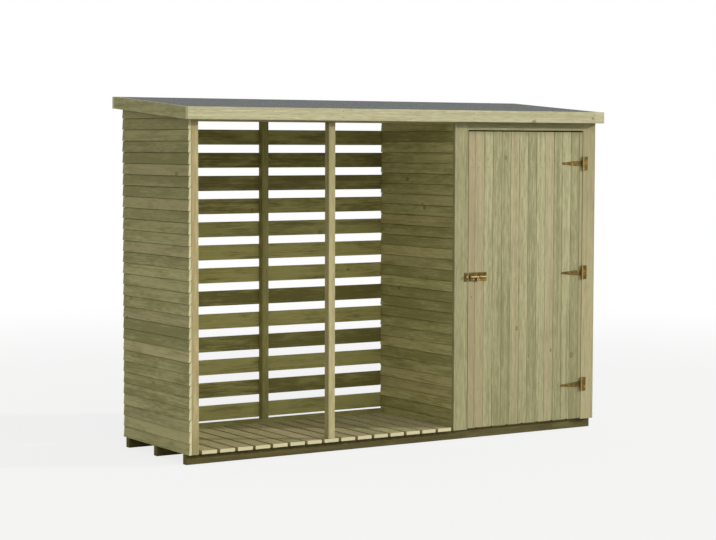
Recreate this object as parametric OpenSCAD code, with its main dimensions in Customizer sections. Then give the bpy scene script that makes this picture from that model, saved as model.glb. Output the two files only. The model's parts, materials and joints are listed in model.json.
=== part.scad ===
// Timber log store with a slatted open bay and a lockable tool cupboard under one lean roof.
// Millimetres. X runs along the front, +Y to the rear, +Z up. The origin is on the ground,
// under the middle of the roof's outline.

/* [Overall] */
// Width over the two side walls
wall_w = 2470; // [2000:10:3200]
// Depth from the front of the frame to the back of the rear boards
wall_d = 717; // [560:1:1000]
// Height from the foot of the walls to the underside of the front fascia
eaves_h = 1600; // [1300:10:2000]
// Width of the tool cupboard over its divider and side wall
cupboard_w = 926; // [760:2:1100]

/* [Base] */
// Height of the bearers
bearer_h = 50; // [30:1:80]
// Width of the bearers, front to rear
bearer_t = 34; // [28:1:75]
// Distance of the outer bearers from the front and rear of the walls
bearer_setback = 30; // [10:1:60]
// Thickness of the floor slats
floor_t = 18; // [12:1:25]
// Width of a floor slat
floor_slat_w = 83; // [60:1:120]
// Smallest gap between floor slats
floor_gap_min = 12; // [6:1:30]

/* [Frame] */
// Side of the square posts and rails
post = 38; // [30:1:50]
// Depth of the rails that carry the roof deck
header_h = 54; // [38:1:70]

/* [Cladding] */
// Thickness of a lapped board at its foot
clad_t = 16; // [12:0.5:22]
// Height of a lapped board that shows
lap_pitch = 55.5; // [40:0.5:90]
// Step from the face of a board to the foot of the one above it
lap_step = 4; // [2:0.5:8]

/* [Rear slats] */
// Width of a rear slat
rear_slat_w = 78; // [50:1:100]
// Thickness of a rear slat
rear_slat_t = 16; // [10:1:18]
// Open gap between rear slats
rear_slat_gap = 41.5; // [15:0.5:60]
// Height of the lowest rear slat above the foot of the walls
rear_slat_start = 46; // [20:1:90]

/* [Roof] */
// Fall of the roof towards the front, degrees
roof_pitch = 4.4; // [2:0.1:8]
// Thickness of the roof deck
deck_t = 12; // [9:1:20]
// Fitting gap between the frame and the roof deck
deck_seat = 0.2; // [0.1:0.05:0.5]
// Thickness of the mineral felt
felt_t = 3; // [2:0.5:5]
// Depth of the fascias and barge boards
fascia_h = 60; // [50:1:100]
// Thickness of the front and rear fascias
fascia_t = 22; // [12:1:30]
// Thickness of the barge boards
barge_t = 18; // [12:1:25]
// Clear space between a side wall and its barge board
side_overhang = 7; // [2:1:40]
// Clear space between the front of the walls and the front fascia
front_overhang = 22; // [15:1:80]
// Clear space between the back of the walls and the rear fascia
rear_overhang = 38; // [10:1:120]

/* [Door] */
// Width of the stiles beside the door
stile_w = 84; // [70:1:110]
// Thickness of the stiles and of the board over the door
stile_t = 20; // [16:1:28]
// Height of the board over the door that shows under the fascia
head_show = 41; // [25:1:90]
// Height of the bottom of the door above the foot of the walls
door_foot = 7; // [5:1:40]
// Running gap round the door
door_gap = 5; // [4:0.5:8]
// Thickness of the matchboards
door_t = 14; // [12:1:20]
// Width of a matchboard
door_board_w = 57.5; // [40:0.5:120]
// Width of the matchboard beside the bolt, after trimming
door_first_w = 39; // [25:1:120]
// Width of the V joint between matchboards
vee_w = 3; // [2:0.5:8]
// Depth of the V joint
vee_d = 2; // [1:0.5:4]
// Width of the ledges and braces
ledge_w = 70; // [50:1:100]
// Thickness of the ledges and braces
ledge_t = 20; // [16:1:28]
// Distance of the ledge ends from the door's edges
ledge_inset = 30; // [20:1:60]

/* [Hinges] */
// Height of the lowest hinge above the bottom of the door
hinge_low = 184; // [100:1:260]
// Distance of the highest hinge below the top of the door
hinge_high = 169; // [100:1:260]
// Place of the middle hinge and the bolt between the outer hinges
hinge_middle = 0.508; // [0.4:0.004:0.6]
// Length of the tapered strap from the pin
strap_len = 138; // [100:1:200]
// Width of the strap at the pin
strap_root = 32; // [24:1:44]
// Width of the strap at its tip
strap_tip = 11; // [8:1:20]
// Height of the plate on the stile
plate_h = 74; // [60:1:110]
// Width of the plate on the stile, from the pin
plate_w = 34; // [24:1:40]
// Thickness of strap and plate
leaf_t = 2.5; // [2:0.25:4]
// Outside diameter of the knuckles
knuckle_d = 11; // [8:0.5:12]
// Diameter of the hinge pin
pin_d = 5; // [4:0.5:6]
// Running clearance round the pin and between knuckles
pin_clear = 0.1; // [0.05:0.05:0.3]
// Gap between knuckles along the pin
knuckle_gap = 0.6; // [0.3:0.1:1]

/* [Bolt] */
// Length of the bolt's back plate
latch_len = 111; // [100:1:160]
// Height of the back plate and of the keep
latch_h = 46; // [40:1:60]
// Thickness of the back plate
latch_t = 2; // [1.5:0.5:3]
// Diameter of the sliding bolt
bolt_d = 10; // [8:0.5:12]
// Clearance between the bolt and its guides
bolt_clear = 0.4; // [0.2:0.1:0.8]
// Wall of the guides
guide_t = 2.5; // [2:0.5:4]
// Width of each guide along the bolt
guide_w = 10; // [8:1:14]
// Width of the keep along the bolt
keep_w = 20; // [16:1:26]
// Distance of the back plate and keep from the edges of door and stile
latch_edge = 3; // [2:0.5:6]
// Distance that the bolt slides into the keep
bolt_travel = 30; // [24:1:36]
// Thickness of the padlock lug
lug_t = 4; // [3:0.5:6]
// Width of the padlock lug below the bolt
lug_w = 16; // [14:1:20]
// Width of the neck between the bolt and the lug
lug_neck = 6; // [5:0.5:8]
// Diameter of the padlock hole
lug_hole_d = 8; // [6:0.5:9]

/* [Hidden] */
$fn = 48;
far = 4 * (wall_w + wall_d + eaves_h);

// Colours of the timber, felt and hardware
green_timber = "#9c9a6b";
shaded_timber = "#6f6d45";
pale_timber = "#c3bd92";
felt_grey = "#6d6f74";
bronze = "#7a5a2c";

// Places along X
x_left = -wall_w / 2;
x_right = wall_w / 2;
roof_x0 = x_left - side_overhang;
roof_x1 = x_right + side_overhang;
x_divider = x_right - cupboard_w;
bay_x0 = x_left + clad_t + post;
bay_x1 = x_divider;
bay_mid = (bay_x0 + bay_x1) / 2;
divider_post_x = x_divider + clad_t;
right_post_x = x_right - clad_t - post;
rear_joint_x = divider_post_x + post / 2;
door_x0 = x_divider + stile_w + door_gap;
door_x1 = x_right - stile_w - door_gap;

// Places along Y
roof_d = fascia_t + front_overhang + wall_d + rear_overhang + fascia_t;
y_fascia = -roof_d / 2 + fascia_t;
y_front = y_fascia + front_overhang;
y_rear = y_front + wall_d;
y_rear_fascia = y_rear + rear_overhang;
rear_post_y = y_rear - clad_t - post;
stile_back_y = y_front + stile_t;

// Places along Z
foot = bearer_h;
floor_top = foot + floor_t;
fascia_top = foot + eaves_h + fascia_h;
door_z0 = foot + door_foot;
head_z0 = foot + eaves_h - head_show;
door_z1 = head_z0 - door_gap;
hinge_z0 = door_z0 + hinge_low;
hinge_z1 = door_z1 - hinge_high;
latch_z = hinge_z0 + hinge_middle * (hinge_z1 - hinge_z0);
hinge_heights = [hinge_z0, latch_z, hinge_z1];

// Top of the felt, underside of the deck and top of the frame at a given depth
function roof_z(y) = fascia_top + (y - y_fascia) * tan(roof_pitch);
function deck_z(y) = roof_z(y) - felt_t - deck_t;
function frame_z(y) = deck_z(y) - deck_seat;
header_z = deck_z(y_front) - header_h;
rear_header_z = deck_z(rear_post_y) - header_h;

// A box from its two opposite corners
module box(low, high) {
    translate(low) cube(high - low);
}

// A prism along X with its outline in the YZ plane
module prism_x(x0, x1, outline) {
    translate([x0, 0, 0]) rotate([90, 0, 90]) linear_extrude(x1 - x0) polygon(outline);
}

// A prism along Y with its outline in the XZ plane
module prism_y(y0, y1, outline) {
    translate([0, y1, 0]) rotate([90, 0, 0]) linear_extrude(y1 - y0) polygon(outline);
}

// Outline between two depths, from a lower to an upper edge that both follow the roof
function sloped_band(y0, y1, down_low, down_high) = [
    [y0, deck_z(y0) - down_low], [y1, deck_z(y1) - down_low],
    [y1, deck_z(y1) - down_high], [y0, deck_z(y0) - down_high]
];

// Keeps what is under the roof deck
module under_deck() {
    intersection() {
        children();
        prism_x(-far, far, [[-far, -far], [far, -far], [far, frame_z(far)], [-far, frame_z(-far)]]);
    }
}

// Boards that lie across a width, as many as fit, with even gaps
function slat_count(width) = floor((width - floor_gap_min) / (floor_slat_w + floor_gap_min));
function slat_gap(width) = (width - slat_count(width) * floor_slat_w) / (slat_count(width) + 1);

module floor_slats(x0, x1, y0, y1) {
    width = x1 - x0;
    gap = slat_gap(width);
    for (i = [0 : slat_count(width) - 1])
        let (x = x0 + gap + i * (floor_slat_w + gap))
            box([x, y0, foot], [x + floor_slat_w, y1, floor_top]);
}

// Section of lapped boards: u is the distance out from the posts, v the height above the foot.
// The backs are flat on the posts, and each face falls back to its top, behind the foot of the next.
function lap_outline(count) = concat(
    [for (i = [0 : count - 1]) each [
        [clad_t, i * lap_pitch], [clad_t - lap_step, (i + 1) * lap_pitch]
    ]],
    [[0, count * lap_pitch], [0, 0]]
);

// Lapped boards on a wall that stands at x and runs in depth; side is -1 for a wall that faces left
module side_cladding(x, side, y0, y1) {
    count = ceil((deck_z(y1) - foot) / lap_pitch);
    under_deck() prism_y(y0, y1, [for (p = lap_outline(count)) [x + side * p[0], foot + p[1]]]);
}

module post_at(x, y, z0) {
    under_deck() box([x, y, z0], [x + post, y + post, far]);
}

// Top and bottom rails of a side wall, between its posts
module side_rails(x, y0, y1) {
    box([x, y0, foot], [x + post, y1, foot + post]);
    prism_x(x, x + post, sloped_band(y0, y1, header_h, deck_seat));
}

// Top and bottom rails of the rear wall, between its posts
module rear_rails(x0, x1) {
    box([x0, rear_post_y, foot], [x1, rear_post_y + post, foot + post]);
    under_deck() box([x0, rear_post_y, rear_header_z], [x1, rear_post_y + post, far]);
}

module bearer(y) {
    color(shaded_timber) box([x_left, y, 0], [x_right, y + bearer_t, bearer_h]);
}

module front_bearer() bearer(y_front + bearer_setback);
module middle_bearer() bearer((y_front + y_rear - bearer_t) / 2);
module rear_bearer() bearer(y_rear - bearer_setback - bearer_t);

module bay_floor_slats() {
    color(pale_timber) floor_slats(bay_x0, bay_x1, y_front, rear_post_y);
}

module cupboard_floor_slats() {
    color(pale_timber)
        floor_slats(divider_post_x + post, right_post_x, y_front + door_t + 2 * door_gap, rear_post_y);
}

module left_front_post() color(pale_timber) post_at(x_left + clad_t, y_front, foot);
module left_rear_post() color(shaded_timber) post_at(x_left + clad_t, rear_post_y, foot);
module left_wall_rails() color(shaded_timber) side_rails(x_left + clad_t, y_front + post, rear_post_y);
module left_wall_cladding() color(green_timber) side_cladding(x_left + clad_t, -1, y_front, y_rear);

module divider_front_post() color(shaded_timber) post_at(divider_post_x, stile_back_y, foot);
module divider_rear_post() color(shaded_timber) post_at(divider_post_x, rear_post_y, foot);
module divider_rails() color(shaded_timber) side_rails(divider_post_x, stile_back_y + post, rear_post_y);
module divider_cladding()
    color(green_timber) side_cladding(divider_post_x, -1, stile_back_y, rear_post_y + post);

module right_front_post() color(shaded_timber) post_at(right_post_x, stile_back_y, foot);
module right_rear_post() color(shaded_timber) post_at(right_post_x, rear_post_y, foot);
module right_wall_rails() color(shaded_timber) side_rails(right_post_x, stile_back_y + post, rear_post_y);
module right_wall_cladding()
    color(green_timber) side_cladding(right_post_x + post, 1, stile_back_y, y_rear);

module middle_post() {
    color(pale_timber)
        box([bay_mid - post / 2, y_front, floor_top], [bay_mid + post / 2, y_front + post, header_z]);
}

module front_header() {
    color(shaded_timber) under_deck() box([bay_x0, y_front, header_z], [bay_x1, y_front + post, far]);
}

module rear_stud(x) {
    color(shaded_timber)
        box([x - post / 2, rear_post_y, foot + post], [x + post / 2, rear_post_y + post, rear_header_z]);
}

module bay_rear_stud() rear_stud(bay_mid);
module bay_rear_rails() color(shaded_timber) rear_rails(bay_x0, bay_x1);

// Open slats over the back of the bay, from the left wall to the divider's post
module bay_rear_slats() {
    pitch = rear_slat_w + rear_slat_gap;
    first = foot + rear_slat_start;
    count = floor((deck_z(rear_post_y + post) - first + rear_slat_gap) / pitch);
    color(shaded_timber)
        for (i = [0 : count - 1])
            let (z = first + i * pitch)
                box([x_left + clad_t, y_rear - clad_t, z],
                    [rear_joint_x, y_rear - clad_t + rear_slat_t, z + rear_slat_w]);
}

module cupboard_rear_stud() rear_stud((divider_post_x + post + right_post_x) / 2);
module cupboard_rear_rails() color(shaded_timber) rear_rails(divider_post_x + post, right_post_x);

module cupboard_rear_cladding() {
    count = ceil((deck_z(y_rear) - foot) / lap_pitch);
    outline = [for (p = lap_outline(count)) [y_rear - clad_t + p[0], foot + p[1]]];
    color(green_timber) under_deck() prism_x(rear_joint_x, right_post_x + post, outline);
}

module door_stile(x) {
    color(pale_timber) under_deck() box([x, y_front, foot], [x + stile_w, stile_back_y, far]);
}

module left_door_stile() door_stile(x_divider);
module right_door_stile() door_stile(x_right - stile_w);

module door_head() {
    color(pale_timber) under_deck()
        box([x_divider + stile_w, y_front, head_z0], [x_right - stile_w, stile_back_y, far]);
}

// Upright matchboards with a V joint between neighbours
module door_boards() {
    joints = [for (x = [door_x0 + door_first_w : door_board_w : door_x1 - 2 * vee_w]) x];
    front = [for (x = joints) each [
        [x - vee_w / 2, y_front], [x, y_front + vee_d], [x + vee_w / 2, y_front]
    ]];
    outline = concat(
        [[door_x0, y_front]], front, [[door_x1, y_front]],
        [[door_x1, y_front + door_t], [door_x0, y_front + door_t]]
    );
    color(green_timber) translate([0, 0, door_z0]) linear_extrude(door_z1 - door_z0) polygon(outline);
}

ledge_x0 = door_x0 + ledge_inset;
ledge_x1 = door_x1 - ledge_inset;
ledge_y = y_front + door_t;

module door_ledges() {
    color(shaded_timber)
        for (h = hinge_heights)
            box([ledge_x0, ledge_y, h - ledge_w / 2], [ledge_x1, ledge_y + ledge_t, h + ledge_w / 2]);
}

// Braces rise from the hinge side, one between each pair of ledges
module door_braces() {
    color(shaded_timber)
        for (i = [0 : len(hinge_heights) - 2])
            let (z0 = hinge_heights[i] + ledge_w / 2, z1 = hinge_heights[i + 1] - ledge_w / 2)
                prism_y(ledge_y, ledge_y + ledge_t, [
                    [ledge_x1 - ledge_w, z0], [ledge_x1, z0],
                    [ledge_x0 + ledge_w, z1], [ledge_x0, z1]
                ]);
}

hinge_x = door_x1 + door_gap / 2;
hinge_y = y_front - knuckle_d / 2;

module knuckle(z0, z1) {
    translate([hinge_x, hinge_y, z0]) cylinder(d = knuckle_d, h = z1 - z0);
}

// Plate on the stile with its two knuckles and the pin
module hinge_plates() {
    half = strap_root / 2 + knuckle_gap;
    clear_x = hinge_x + knuckle_d / 2 + knuckle_gap;
    color(bronze)
        for (h = hinge_heights)
            translate([0, 0, h]) {
                box([clear_x, y_front - leaf_t, -plate_h / 2], [hinge_x + plate_w, y_front, plate_h / 2]);
                for (z = [-plate_h / 2, half]) {
                    knuckle(z, z + plate_h / 2 - half);
                    box([hinge_x, y_front - leaf_t, z], [clear_x, y_front, z + plate_h / 2 - half]);
                }
                translate([hinge_x, hinge_y, -plate_h / 2]) cylinder(d = pin_d, h = plate_h);
            }
}

// Tapered strap on the door with a rounded tip and the middle knuckle
module hinge_straps() {
    tip_x = hinge_x - strap_len + strap_tip / 2;
    color(bronze)
        for (h = hinge_heights)
            translate([0, 0, h]) difference() {
                union() {
                    prism_y(y_front - leaf_t, y_front, [
                        [tip_x, -strap_tip / 2], [hinge_x, -strap_root / 2],
                        [hinge_x, strap_root / 2], [tip_x, strap_tip / 2]
                    ]);
                    translate([tip_x, y_front, 0]) rotate([90, 0, 0]) cylinder(d = strap_tip, h = leaf_t);
                    knuckle(-strap_root / 2, strap_root / 2);
                }
                translate([hinge_x, hinge_y, -plate_h / 2])
                    cylinder(d = pin_d + 2 * pin_clear, h = plate_h);
            }
}

// The bolt slides to the left on the door's face, from its guides into the keep on the stile
latch_x = door_x0 + latch_edge;
guide_r = bolt_d / 2 + bolt_clear;
bolt_y = y_front - latch_t - guide_r;
guide_outer = guide_r + guide_t;
far_guide_x = latch_x + latch_len - bolt_travel - guide_w - 3 * latch_edge;
guide_xs = [latch_x + latch_edge, far_guide_x];
lug_x = far_guide_x - 2 * latch_edge - lug_neck / 2;
lug_z = guide_outer + 1 + lug_w / 2;
bolt_len = latch_len - 2 * latch_edge;

// Arch over the bolt with two feet on the plate
module guide(x) {
    translate([x, 0, latch_z]) rotate([90, 0, 90]) linear_extrude(guide_w) difference() {
        union() {
            translate([bolt_y, 0]) circle(r = guide_outer);
            translate([bolt_y, -guide_outer]) square([y_front - bolt_y, 2 * guide_outer]);
        }
        translate([bolt_y, 0]) circle(r = guide_r);
        translate([bolt_y, -guide_r]) square([y_front - bolt_y + 1, 2 * guide_r]);
    }
}

module latch_plate() {
    color(bronze) {
        box([latch_x, y_front - latch_t, latch_z - latch_h / 2],
            [latch_x + latch_len, y_front, latch_z + latch_h / 2]);
        for (x = guide_xs) guide(x);
    }
}

// Round bolt with a flat lug under it that takes a padlock
module latch_bolt() {
    color(bronze) {
        translate([latch_x + latch_edge / 3, bolt_y, latch_z]) rotate([0, 90, 0])
            cylinder(d = bolt_d, h = bolt_len);
        translate([lug_x, bolt_y + lug_t / 2, latch_z]) rotate([90, 0, 0]) linear_extrude(lug_t)
            difference() {
                union() {
                    translate([-lug_neck / 2, -lug_z]) square([lug_neck, lug_z]);
                    translate([-lug_w / 2, -lug_z]) square([lug_w, lug_w / 2]);
                    translate([0, -lug_z]) circle(d = lug_w);
                }
                translate([0, -lug_z]) circle(d = lug_hole_d);
            }
    }
}

module latch_keep() {
    x = x_divider + stile_w - latch_edge - keep_w;
    color(bronze) {
        box([x, y_front - latch_t, latch_z - latch_h / 2], [x + keep_w, y_front, latch_z + latch_h / 2]);
        guide(x + (keep_w - guide_w) / 2);
    }
}

module roof_deck() {
    color(shaded_timber)
        prism_x(roof_x0, roof_x1, sloped_band(y_fascia, y_rear_fascia, 0, -deck_t));
}

module roof_felt() {
    color(felt_grey)
        prism_x(roof_x0, roof_x1, sloped_band(y_fascia, y_rear_fascia, -deck_t, -deck_t - felt_t));
}

// A fascia board with its back or front face on the end of the deck
module fascia(y, top) {
    color(pale_timber)
        box([roof_x0 - barge_t, y, top - fascia_h], [roof_x1 + barge_t, y + fascia_t, top]);
}

module front_fascia() fascia(y_fascia - fascia_t, roof_z(y_fascia));
module rear_fascia() fascia(y_rear_fascia, roof_z(y_rear_fascia));

module barge_board(x) {
    edge = felt_t + deck_t;
    color(green_timber)
        prism_x(x, x + barge_t, sloped_band(y_fascia, y_rear_fascia, fascia_h - edge, -edge));
}

module left_barge_board() barge_board(roof_x0 - barge_t);
module right_barge_board() barge_board(roof_x1);

front_bearer();
middle_bearer();
rear_bearer();
bay_floor_slats();
cupboard_floor_slats();
left_front_post();
left_rear_post();
left_wall_rails();
left_wall_cladding();
divider_front_post();
divider_rear_post();
divider_rails();
divider_cladding();
right_front_post();
right_rear_post();
right_wall_rails();
right_wall_cladding();
middle_post();
front_header();
bay_rear_stud();
bay_rear_rails();
bay_rear_slats();
cupboard_rear_stud();
cupboard_rear_rails();
cupboard_rear_cladding();
left_door_stile();
right_door_stile();
door_head();
door_boards();
door_ledges();
door_braces();
hinge_plates();
hinge_straps();
latch_plate();
latch_bolt();
latch_keep();
roof_deck();
roof_felt();
front_fascia();
rear_fascia();
left_barge_board();
right_barge_board();
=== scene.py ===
import json
import random
from math import atan2, cos, pi, radians, sin, tan

import bmesh
import bpy
from mathutils import Matrix, Vector


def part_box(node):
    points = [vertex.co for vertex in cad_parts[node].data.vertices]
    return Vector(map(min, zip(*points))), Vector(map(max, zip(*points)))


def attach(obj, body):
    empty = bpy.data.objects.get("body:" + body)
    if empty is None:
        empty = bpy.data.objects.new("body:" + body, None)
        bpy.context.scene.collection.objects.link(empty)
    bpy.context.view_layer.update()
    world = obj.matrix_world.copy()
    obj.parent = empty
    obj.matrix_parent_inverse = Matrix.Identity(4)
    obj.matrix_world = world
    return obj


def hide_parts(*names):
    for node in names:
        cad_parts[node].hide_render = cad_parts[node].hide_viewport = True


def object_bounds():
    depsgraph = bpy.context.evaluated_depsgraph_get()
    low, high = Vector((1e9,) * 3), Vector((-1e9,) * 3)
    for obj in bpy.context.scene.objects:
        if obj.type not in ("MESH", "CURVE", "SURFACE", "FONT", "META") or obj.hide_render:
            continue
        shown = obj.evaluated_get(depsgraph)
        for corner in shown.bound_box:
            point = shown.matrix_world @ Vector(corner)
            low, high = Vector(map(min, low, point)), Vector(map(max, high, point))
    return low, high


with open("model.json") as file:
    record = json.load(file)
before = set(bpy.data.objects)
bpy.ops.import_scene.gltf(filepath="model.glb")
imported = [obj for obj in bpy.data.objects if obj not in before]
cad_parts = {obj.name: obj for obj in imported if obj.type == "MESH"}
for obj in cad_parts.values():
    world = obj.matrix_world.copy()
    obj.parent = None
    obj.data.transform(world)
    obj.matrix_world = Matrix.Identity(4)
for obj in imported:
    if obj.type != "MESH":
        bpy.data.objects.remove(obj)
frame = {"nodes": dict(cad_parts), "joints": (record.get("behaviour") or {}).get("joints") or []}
cadLow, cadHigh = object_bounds()
dice = random.Random(41)  # one seed, so that every run makes the same boards
mm = 0.001
axes = [Vector((1, 0, 0)), Vector((0, 1, 0)), Vector((0, 0, 1))]
white = (1, 1, 1, 1)


# camera at eye height, to the left of the front; metres, radians and pixels
camera = {
    "place": (-5.4719, -8.5050, 1.5339), "yaw": 0.5676, "pitch": -0.0649, "roll": 0.0028,
    "focalPixels": 1933.3, "framePixels": 716, "sensor": 36.0,
}


def placeCamera(spec):
    yaw, pitch, roll = spec["yaw"], spec["pitch"], spec["roll"]
    ahead = Vector((sin(yaw) * cos(pitch), cos(yaw) * cos(pitch), sin(pitch)))
    side = ahead.cross(axes[2]).normalized()
    up = side.cross(ahead)
    side, up = cos(roll) * side + sin(roll) * up, cos(roll) * up - sin(roll) * side
    lens = bpy.data.cameras.new("camera")
    lens.sensor_fit = "HORIZONTAL"
    lens.sensor_width = spec["sensor"]
    lens.lens = spec["focalPixels"] * spec["sensor"] / spec["framePixels"]
    view = bpy.data.objects.new("camera", lens)
    turn = Matrix((side, up, -ahead)).transposed().to_4x4()
    view.matrix_world = Matrix.Translation(spec["place"]) @ turn
    bpy.context.scene.collection.objects.link(view)
    bpy.context.scene.camera = view


placeCamera(camera)
print("camera placed")


class Wire:
    # one output of a node tree: sums on it add Math nodes, node() adds any other node
    def __init__(self, tree, socket=None):
        self.tree = tree
        self.socket = socket

    def node(self, kind, settings=None, inputs=None, out=0):
        made = self.tree.nodes.new(kind)
        for key, value in (settings or {}).items():
            setattr(made, key, value)
        for key, value in (inputs or {}).items():
            if isinstance(value, Wire):
                self.tree.links.new(value.socket, made.inputs[key])
            else:
                made.inputs[key].default_value = value
        return Wire(self.tree, made.outputs[out] if len(made.outputs) else None)

    def outlets(self):  # every output of the node that this one belongs to
        return [Wire(self.tree, socket) for socket in self.socket.node.outputs]

    def maths(self, operation, *values):
        return self.node("ShaderNodeMath", {"operation": operation}, dict(enumerate(values)))

    def __add__(self, other):
        return self.maths("ADD", self, other)

    __radd__ = __add__

    def __sub__(self, other):
        return self.maths("SUBTRACT", self, other)

    def __rsub__(self, other):
        return self.maths("SUBTRACT", other, self)

    def __mul__(self, other):
        return self.maths("MULTIPLY", self, other)

    __rmul__ = __mul__

    def __truediv__(self, other):
        return self.maths("DIVIDE", self, other)

    def __rtruediv__(self, other):
        return self.maths("DIVIDE", other, self)

    def fraction(self):
        return self.maths("FRACT", self)

    def most(self, other):
        return self.maths("MAXIMUM", self, other)

    def vector(self, operation, *others, out=0):
        values = dict(enumerate((self,) + others))
        return self.node("ShaderNodeVectorMath", {"operation": operation}, values, out)

    def length(self):
        return self.vector("LENGTH", out="Value")

    def parts(self):
        return self.node("ShaderNodeSeparateXYZ", None, {0: self}).outlets()

    def step(self, low, high):  # 0 below low, 1 above high, smooth between
        smooth = {"interpolation_type": "SMOOTHSTEP"}
        return self.node("ShaderNodeMapRange", smooth, {0: self, 1: low, 2: high})

    def mix(self, low, high):  # colour mix with this value as its factor
        return self.node("ShaderNodeMix", {"data_type": "RGBA"}, {0: self, 6: low, 7: high}, 2)

    def noise(self, stretch, detail, out="Fac"):  # noise on this vector, stretched per axis
        return self.node("ShaderNodeTexNoise", None, {
            "Vector": self.vector("MULTIPLY", stretch), "Scale": 1.0, "Detail": detail,
        }, out)


def paint(red, green, blue):  # screen colour, 0 to 255, as the linear colour that nodes take
    return tuple(
        c / 12.92 if c <= 0.04045 else ((c + 0.055) / 1.055) ** 2.4
        for c in (red / 255, green / 255, blue / 255)
    ) + (1.0,)


def blankMaterial(name):
    material = bpy.data.materials.new(name)
    material.use_nodes = True
    material.node_tree.nodes.clear()
    return material, Wire(material.node_tree)


def coverWith(start, inputs):  # one principled shader on the material's output
    shader = start.node("ShaderNodeBsdfPrincipled", None, inputs)
    start.node("ShaderNodeOutputMaterial", None, {0: shader})


# pressure treated softwood: rings round a pith, fibres, blotches of green, knots and paler sawn ends
treatedWood = {
    # rings: how far they wander, and where in a ring the dark late wood comes and goes
    "ringsPerMetre": 270.0, "ringWobble": 22 * mm, "ringDrift": 1.5,
    "lateIn": (0.3, 0.9), "lateOut": (0.9, 1.0),
    # knots: cells per metre, share of the cells that have one, and its largest and smallest radius
    "knotCell": (2.4, 8.5, 0.0), "knotShare": 0.28, "knotSize": 9.5 * mm, "knotLeast": 0.1 * mm,
    # squash along the grain, swing of the rings round a knot, and the edges of its parts in knot radii
    "knotSquash": 0.72, "knotSwing": 1.1, "swingReach": (0.5, 4.0),
    "knotEdge": (0.7, 1.05), "rimIn": (0.55, 0.95), "rimOut": (0.95, 1.5),
    # patterns: noise cells per metre along, across and through the board, then the detail
    "drift": ((0.8, 6.0, 6.0), 1.0), "streak": ((0.9, 55.0, 55.0), 2.0), "blotch": ((4.0, 18.0, 18.0), 4.0),
    "fibre": ((5.0, 330.0, 330.0), 3.0), "fleck": ((16.0, 130.0, 130.0), 3.0),
    "check": ((2.6, 240.0, 240.0), 1.0), "checkRange": (0.69, 0.76),
    # how far each pattern moves the tone between the dark and the light paint
    "tone": {
        "middle": 0.55, "board": 0.5, "blotch": 1.1, "streak": 0.9, "fleck": 1.4, "fibre": 0.9, "late": 0.36,
    },
    "toneRange": (-0.15, 1.15),
    # casts: the paint, then how much of it whole boards and patterns take, and which of them
    "pinkCast": (178, 157, 125), "pinkBoards": 0.24, "pinkFrom": (0.6, 1.0),
    "pinkStreaks": 0.2, "pinkStreaksFrom": (0.55, 0.8),
    "mossCast": (126, 130, 82), "mossBoards": 0.2, "mossFrom": (0.5, 1.0),
    "mossBlotches": 0.24, "mossBlotchesFrom": (0.5, 0.75),
    "knotColour": (122, 98, 58), "knotRim": (100, 86, 50), "knotDark": 0.6,
    "checkColour": (92, 82, 48), "checkDark": 0.4, "endColour": (214, 206, 166), "endRings": 0.35,
    # darkening colours, and heights in metres with a ragged edge: one colour darkens towards the foot and
    # gives the painted shade under the door head, the other gives the painted shade under the eaves
    "dampColour": (116, 114, 72), "grimeColour": (104, 100, 56), "grimeReach": (0.7, 1.75), "ragged": 0.5,
    # surface
    "relief": {"fleck": 0.35, "late": 0.25, "check": 0.5, "knot": 0.3}, "fibreDepth": 0.8 * mm, "bump": 0.55,
    "roughness": 0.86, "lateSmooth": 0.14, "knotSmooth": 0.1, "specular": 0.3,
}


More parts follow.
